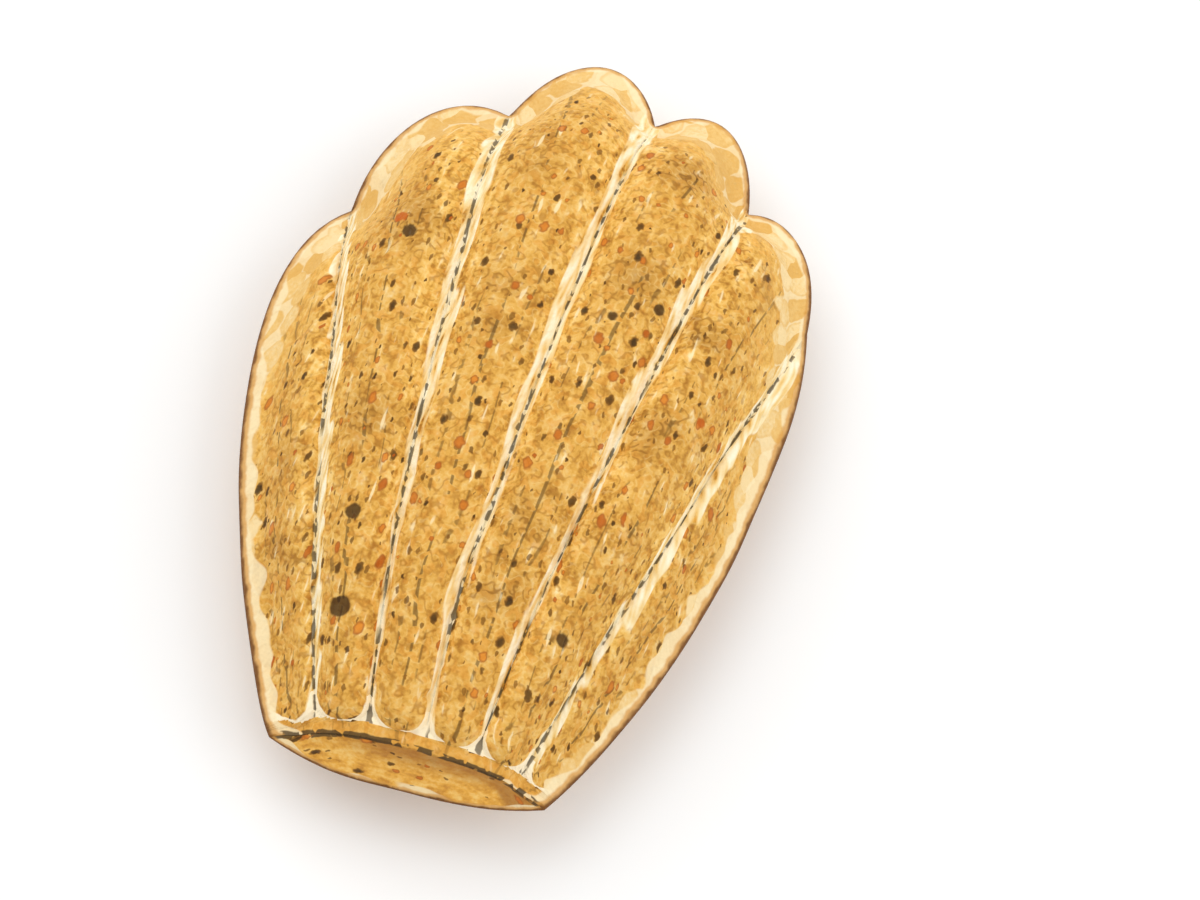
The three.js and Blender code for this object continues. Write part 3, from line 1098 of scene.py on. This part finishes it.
@dataclass
class Madeleine:
    """The whole cake: one closed mesh over the plan's grid, its relief and its crust."""

    form: CakeForm = CakeForm()
    relief: CrustRelief = CrustRelief()
    crust: SpongeCrust = SpongeCrust()
    columns_per_rib: int = 34
    end_rows: int = 16
    rib_rows: int = 218
    column_pull: float = 0.25
    side_spread: float = 1.2  # power that brings a side rib's columns closer to the rim
    row_pull: float = 0.5
    # Colours of the ribs. Each onset gives the shares along between which something grows.
    crest: float = 0.35  # half width of a rib's browner crest, as a share of half the rib's width
    margin: Point = (2.2, 4.3)  # width of the pale margin at the narrow end and at the scallops
    rim_strip: Point = (1.45, 0.8)  # and of the palest strip along its edge
    margin_onset: Point = (0.5, 0.95)
    fringe_fade: float = 2.2  # how much further in the fringe inside the margin begins at the scallops
    fringe_onset: Point = (0.4, 0.8)
    groove_flare: float = 0.75  # how much wider a groove's pale band is at the scallops, on each side
    flare_onset: Point = (0.1, 0.9)
    groove_shifts: tuple[float, ...] = (0.8, 0.3, -0.35, -0.4, 0.3)  # of each pale band to the right
    shift_onset: Point = (0.03, 0.15)
    toe_reach: float = 0.3  # how far a rib's toe runs out on the ledge before it
    toe_round: float = 0.8  # length of a rib's round toe, as a share of half its width
    # Colours of the edges and of the slanted face, with the painted shade on that face.
    edge_squeeze: float = 1.8  # how much narrower the browned edge is on the underside
    foot_strip: float = 0.75  # width of the palest strip along the foot of the slanted face
    painted_shade_fall: Point = (0.6, 0.1)  # shares down the slanted face over which its strip of painted shade comes in
    strip_light: float = 0.7  # how much of that strip is missing on its left
    light_start: float = 3.5  # how far left of the hump's middle it begins to go
    light_fade: float = 5.0  # and over what length
    wedge_start: float = 5.5  # x at its top of the slanted face's right part, which is darkened by painted shade
    wedge_lean: float = 3.0  # how much further right it starts at the foot
    wedge_blur: float = 0.8
    toast_cell: float = 2.4  # size of the noise that breaks up the browner patches
    toast_seed: int = 31
    toast_onset: Point = (-0.8, 0.5)  # values of that noise between which a patch comes in
    patches: tuple[Spot, ...] = (
        Spot(16.5, 46.0, 3.0), Spot(15.0, 35.0, 3.4), Spot(20.0, 54.0, 2.6), Spot(5.0, 24.0, 2.8),
        Spot(4.2, 16.5, 2.3), Spot(11.0, 63.0, 2.4), Spot(9.0, 50.0, 2.6), Spot(-13.0, 51.0, 3.2),
        Spot(-3.5, 60.0, 2.6), Spot(-3.0, 43.0, 3.2), Spot(-18.0, 24.0, 2.2), Spot(-17.0, 16.0, 2.3),
        Spot(-11.5, 29.0, 2.8), Spot(12.5, 22.0, 2.8),
    )
    burnt: tuple[Spot, ...] = (
        Spot(-9.7, 11.3, 1.0), Spot(-10.9, 19.9, 0.8), Spot(7.5, 45.5, 0.6),
        Spot(11.7, 47.6, 0.55), Spot(-13.5, 49.1, 0.75), Spot(11.2, 13.5, 0.65),
    )
    zest: tuple[Spot, ...] = (Spot(-14.6, 50.6, 0.7), Spot(18.2, 37.7, 0.55))

    def columns(self) -> tuple[Array, Array]:
        """Columns of the grid, closest in the grooves and at the rim.

        Returns:
            Rib number and share across that rib of each column.
        """
        ribs = self.form.plan.ribs
        even = np.arange(self.columns_per_rib) / self.columns_per_rib
        shares = [crowd(even, self.column_pull)] * ribs
        shares[0] = even**self.side_spread
        shares[-1] = 1 - (1 - even) ** self.side_spread
        numbers = np.repeat(np.arange(ribs), self.columns_per_rib)
        return np.append(numbers, ribs - 1), np.append(np.concatenate(shares), 1.0)

    def rows(self) -> Array:
        """Share along of each row of the grid, below 0 on the slanted face."""
        face = np.linspace(-1, 0, self.end_rows, endpoint=False)
        return np.concatenate([face, crowd(np.linspace(0, 1, self.rib_rows + 1), self.row_pull)])

    def grid(self) -> tuple[dict[Side, Array], dict[Side, dict[str, Array]]]:
        """Both faces of the cake over one grid of the plan.

        Returns:
            For each side, its points in mm in the part's frame, of shape (rows, columns, 3), and its
            fields for the crust, of shape (rows, columns) or (rows, columns, 3).
        """
        plan = self.form.plan
        rib, across = self.columns()
        along = self.rows()
        ribs = [plan.rib_points(number, across[rib == number], along) for number in range(plan.ribs)]
        points = np.concatenate(ribs, axis=1)
        along = along[:, None]
        to_rim, to_outline = (soft_distance(points, line) for line in (plan.rim(), plan.outline()))
        on_rim = np.zeros(points.shape[:2], dtype=bool)
        on_rim[[0, -1]] = on_rim[:, [0, -1]] = True
        to_rim[on_rim & (along >= 0)] = to_outline[on_rim] = 0
        heights = {
            Side.SHELL: self.form.height(points, to_rim, rib, across, along),
            Side.UNDERSIDE: self.form.depth(points, to_outline),
        }
        faces, fields = {}, {}
        for side, height in heights.items():
            z = self.form.rim_height + np.where(on_rim, 0, side.value * height)
            faces[side] = np.concatenate([points - self.form.hump_centre, z[..., None]], axis=-1)
            fields[side] = self.fields(side, faces[side], to_rim, to_outline, rib, along)
        return faces, fields

    def fields(
        self, side: Side, points: Array, to_rim: Array, to_outline: Array, rib: Array, along: Array
    ) -> dict[str, Array]:
        """Places and distances in mm on one face that the crust's colours follow.

        They are lengths over the surface: across the ribs from the grooves, and along them from the top
        edge of the slanted face. What belongs to the shell side alone is far away on the underside.

        Args:
            side: the face.
            points: its points in mm.
            to_rim: their soft distances to the sides and scallops.
            to_outline: their soft distances to the whole outline.
            rib: number of the rib of each column.
            along: share along of each row, as a column.

        Returns:
            The fields by name.
        """
        under = side is Side.UNDERSIDE
        away = FAR if under else 0.0
        on_face = along < 0
        run, length = run_length(points, 1), run_length(points, 0)
        climbed, length = length, length - length[[self.end_rows]]
        on_ribs = length > self.form.toe_start

        sideways = run - run[:, [run.shape[1] // 2]]
        flow = np.stack([sideways, length, np.zeros_like(run)], axis=-1)
        flow = np.where(on_face[..., None], flow[..., [1, 0, 2]], flow)

        ribs = self.form.plan.ribs
        borders = np.append(run[:, : -1 : self.columns_per_rib], run[:, -1:], axis=1)
        left, right = run - borders[:, rib], borders[:, rib + 1] - run
        half, ridge = (left + right) / 2, (left - right) / 2
        shifts = np.array([0.0, *self.groove_shifts, 0.0]) * smoothstep(along, *self.shift_onset)
        crease, groove = (
            np.where(rib == 0, after, np.where(rib == ribs - 1, before, np.minimum(before, after)))
            for before, after in ((left, right), (left - shifts[:, rib], right + shifts[:, rib + 1]))
        )
        flare = self.groove_flare * smoothstep(along, *self.flare_onset)
        before_toe = (self.form.toe_start - self.toe_reach - length) / self.toe_round + half
        toe = np.where(before_toe > 0, half - np.hypot(ridge, before_toe), FAR)

        margin, strip = (
            lerp(*width, smoothstep(along, *self.margin_onset)) for width in (self.margin, self.rim_strip)
        )
        fringe = self.fringe_fade * (1 - smoothstep(along, *self.fringe_onset))
        edge = to_outline * self.edge_squeeze if under else to_outline
        edge = np.where(on_face & (not under), np.maximum(edge, climbed), edge)

        # Painted shade on the slanted face: a band under its top edge that fades out on the left, and its
        # right part.
        x, down = points[..., 0], np.clip(-along, 0, 1)
        light = self.strip_light * smoothstep(-x, self.light_start, self.light_start + self.light_fade)
        wedge = smoothstep(x - self.wedge_start - self.wedge_lean * down, 0, self.wedge_blur)
        return {
            "flow": flow,
            "rib": np.abs(ridge) - self.crest * half + away,
            "ridge": ridge + away,
            "margin": to_rim - margin,
            "fringe": to_rim - margin + fringe,
            "groove": np.where(on_ribs, groove, FAR) - flare + away,
            "toe": np.where(on_ribs, toe, FAR) + away,
            "crease": np.where(on_ribs, crease, FAR) + away,
            "face": length + away,
            "strip": np.maximum(smoothstep(down, *self.painted_shade_fall) * (1 - light), wedge) * on_face,
            "edge": edge,
            "rim": edge - np.where(on_face, self.foot_strip, strip),
            "under": self.form.rim_height - points[..., 2] if under else np.zeros_like(run),
        }

    def toast(self, points: Array) -> Array:
        """Extra browning: a bell exp(-(s / r)^2) over each browner patch, broken up by noise.

        Args:
            points: places in mm, of shape (n, 3).

        Returns:
            One share for each point.
        """
        plan = points[:, :2] + self.form.hump_centre
        nearest = np.min([patch.away(plan) / patch.radius for patch in self.patches], axis=0)
        noise = lattice_noise(points, self.toast_cell, self.toast_seed)
        above = points[:, 2] > self.form.rim_height
        return np.exp(-(nearest**2)) * smoothstep(noise, *self.toast_onset) * above

    def spot_distances(self, points: Array) -> dict[str, Array]:
        """Distances to the edge of the nearest large fleck of each kind.

        Args:
            points: places in mm, of shape (n, 3).

        Returns:
            For each kind's name, one distance in mm for each point.
        """
        plan = points[:, :2] + self.form.hump_centre
        above = points[:, 2] > self.form.rim_height
        kinds = ((Fleck.BURNT_SUGAR, self.burnt), (Fleck.ORANGE_ZEST, self.zest))
        far = {kind.value: [spot.away(plan) - spot.radius for spot in spots] for kind, spots in kinds}
        return {name: np.where(above, np.min(each, axis=0), FAR) for name, each in far.items()}

    def mesh(self) -> bpy.types.Mesh:
        """Makes the mesh of the cake, with its relief and its fields.

        Returns:
            The closed, merged mesh.
        """
        faces, fields = self.grid()
        rows, columns = faces[Side.SHELL].shape[:2]
        points = np.concatenate([faces[side].reshape(-1, 3) for side in Side])
        index = np.arange(rows * columns).reshape(rows, columns)
        corners = (index[:-1, :-1], index[:-1, 1:], index[1:, 1:], index[1:, :-1])
        quads = np.stack(corners, axis=-1).reshape(-1, 4)
        quads = np.concatenate([quads, quads[:, ::-1] + rows * columns])
        mesh = bpy.data.meshes.new(NODE)
        mesh.from_pydata((points * MM).tolist(), [], quads.tolist())
        for name in fields[Side.SHELL]:
            store(mesh, name, np.concatenate([fields[side][name].ravel() for side in Side]))
        self.merge(mesh)
        self.shape(mesh)
        mesh.polygons.foreach_set("use_smooth", np.ones(len(mesh.polygons), dtype=bool))
        mesh.update()
        return mesh

    def merge(self, mesh: bpy.types.Mesh) -> None:
        """Joins the two faces along the rim and drops the cells that close up at the corners.

        Args:
            mesh: the mesh of the two faces.
        """
        shell = bmesh.new()
        shell.from_mesh(mesh)
        bmesh.ops.remove_doubles(shell, verts=shell.verts, dist=MERGE_DISTANCE)
        bmesh.ops.dissolve_degenerate(shell, edges=shell.edges, dist=MERGE_DISTANCE)
        shell.to_mesh(mesh)
        shell.free()

    def shape(self, mesh: bpy.types.Mesh) -> None:
        """Moves the mesh's points by the relief and stores the fields that go by their final place.

        Args:
            mesh: the merged mesh.
        """
        points = read(mesh.vertices, "co", 3) / MM
        distance = read(mesh.attributes["edge"].data, "value")
        normals = read(mesh.vertex_normals, "vector", 3)
        corners = read(mesh.loops, "vertex_index", kind=int)
        counts = read(mesh.polygons, "loop_total", kind=int)
        areas = np.zeros(len(points))
        np.add.at(areas, corners, np.repeat(read(mesh.polygons, "area") / counts, counts))
        spots = self.spot_distances(points)
        lift = self.relief.lift(points, areas, distance, spots[Fleck.BURNT_SUGAR.value])
        moved = points + self.relief.warp(points) + normals * lift[:, None]
        mesh.vertices.foreach_set("co", (moved * MM).ravel())
        for name, values in {**spots, "toast": self.toast(points)}.items():
            store(mesh, name, values)

    def build(self) -> bpy.types.Object:
        """Makes the cake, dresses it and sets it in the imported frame.

        Returns:
            The cake's object.
        """
        cake = add_object("madeleine_cake", self.mesh())
        cake.data.materials.append(self.crust.material())
        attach(cake, "root")
        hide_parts(NODE)
        log.info("%s: %d faces", cake.name, len(cake.data.polygons))
        return cake


# ---- studio


@dataclass(frozen=True)
class SoftBox:
    """A square soft light, by where it stands round its aim in degrees and metres."""

    name: str
    azimuth: float
    elevation: float
    distance: float
    size: float
    watts: float

    def build(self, aim: Vector) -> bpy.types.Object:
        """Hangs the light and turns it to its aim.

        Args:
            aim: the aim, in metres.

        Returns:
            The light's object.
        """
        data = bpy.data.lights.new(self.name, "AREA")
        data.shape, data.size, data.energy = "SQUARE", self.size, self.watts
        turn, up = radians(self.azimuth), radians(self.elevation)
        way = Vector((cos(up) * sin(turn), -cos(up) * cos(turn), sin(up)))
        light = add_object(self.name, data)
        light.location = aim + way * self.distance
        light.rotation_mode = "QUATERNION"
        light.rotation_quaternion = way.to_track_quat("Z", "Y")
        return light


@dataclass(frozen=True)
class Studio:
    """A pale sweep, soft light from all round and one camera that looks down on the cake."""

    paper: PaperSweep = PaperSweep()
    floor_size: float = 8.0  # m
    sky: str = "#f4f6fa"
    sky_strength: float = 0.88
    lights: tuple[SoftBox, ...] = (
        SoftBox("window", -132.0, 52.0, 0.9, 0.9, 3.45),
        SoftBox("bounce", 95.0, 42.0, 1.1, 1.0, 3.2),
    )
    aim: tuple[float, float, float] = (8.253, -1.569, 12.1)  # mm
    elevation: float = 70.0
    roll: float = 15.2
    distance: float = 0.322  # m
    lens: float = 100.0
    sensor: float = 36.0

    def build_floor(self) -> bpy.types.Object:
        """Lays the paper as one flat square at the height of the ground.

        Returns:
            The floor's object.
        """
        half = self.floor_size / 2
        corners = [(x * half, y * half, 0.0) for x, y in ((-1, -1), (1, -1), (1, 1), (-1, 1))]
        mesh = bpy.data.meshes.new("floor")
        mesh.from_pydata(corners, [], [(0, 1, 2, 3)])
        mesh.materials.append(self.paper.material())
        floor = add_object("floor", mesh)
        return floor

    def build_light(self) -> None:
        """Lights the cake evenly from the sky and the soft boxes."""
        world = bpy.data.worlds.new("sky")
        world.use_nodes = True
        tree = world.node_tree
        feed(tree, tree.nodes["Background"], {"Color": linear(self.sky), "Strength": self.sky_strength})
        bpy.context.scene.world = world
        bpy.context.scene.view_settings.view_transform = "Standard"
        for light in self.lights:
            light.build(Vector(self.aim) * MM)

    def build_camera(self) -> bpy.types.Object:
        """Sets the camera: it looks at the aim from its elevation, turned by its roll.

        Returns:
            The camera's object.
        """
        tilt = radians(self.elevation)
        back = Vector((0.0, -cos(tilt), sin(tilt)))
        data = bpy.data.cameras.new("camera")
        data.lens, data.sensor_width = self.lens, self.sensor
        camera = add_object("camera", data)
        camera.location = Vector(self.aim) * MM + back * self.distance
        camera.rotation_mode = "QUATERNION"
        turn = Quaternion((0.0, 0.0, 1.0), radians(self.roll))
        camera.rotation_quaternion = (-back).to_track_quat("-Z", "Y") @ turn
        bpy.context.scene.camera = camera
        return camera


def main() -> None:
    """Builds the studio and the cake and reports each piece."""
    logging.basicConfig(level=logging.INFO, format="%(name)s: %(message)s")
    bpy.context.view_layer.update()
    studio = Studio()
    studio.build_camera()
    studio.build_light()
    log.info("floor: %s", studio.build_floor().name)
    Madeleine().build()


if __name__ == "__main__":
    main()
